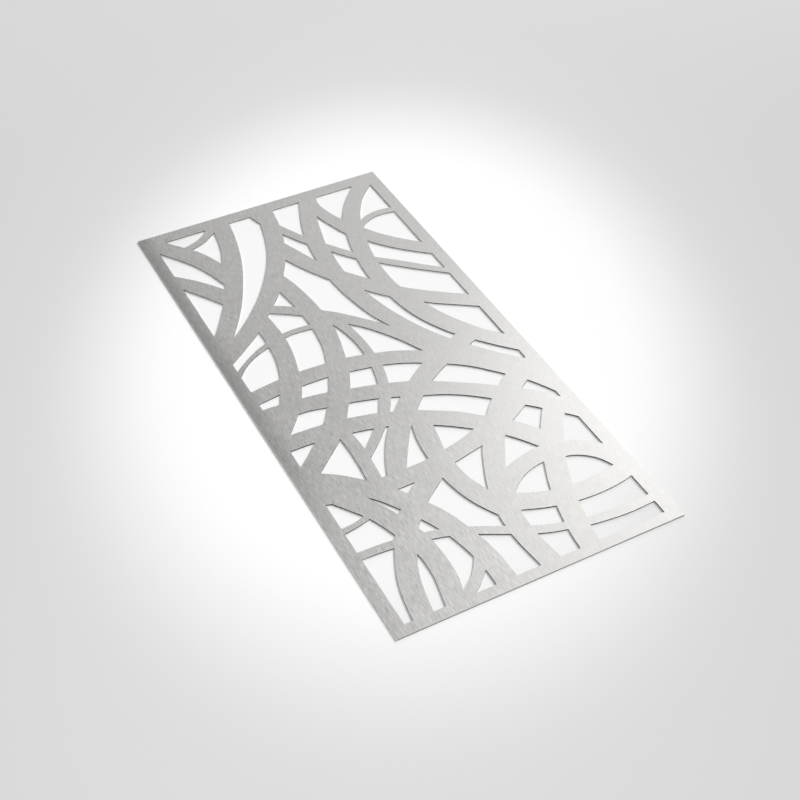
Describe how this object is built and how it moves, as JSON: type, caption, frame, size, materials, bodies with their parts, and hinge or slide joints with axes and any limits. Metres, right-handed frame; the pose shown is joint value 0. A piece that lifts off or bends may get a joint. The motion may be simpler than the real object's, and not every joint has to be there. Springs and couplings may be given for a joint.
{
  "type": "laser cut metal screen",
  "caption": "Flat brushed stainless sheet with a plain rim, laser cut into a lattice of crossing curved bands.",
  "frame": {"origin": "centre of the sheet's outline on its back face, the face that it lies on", "axes": "+X across the sheet, +Y along the sheet, +Z out of its front face"},
  "size_m": [0.48, 1, 0.003],
  "materials": {
    "brushed_stainless": "fine brushed grain along the sheet's length"
  },
  "bodies": {
    "root": {"screen_panel": "brushed_stainless"}
  },
  "joints": []
}
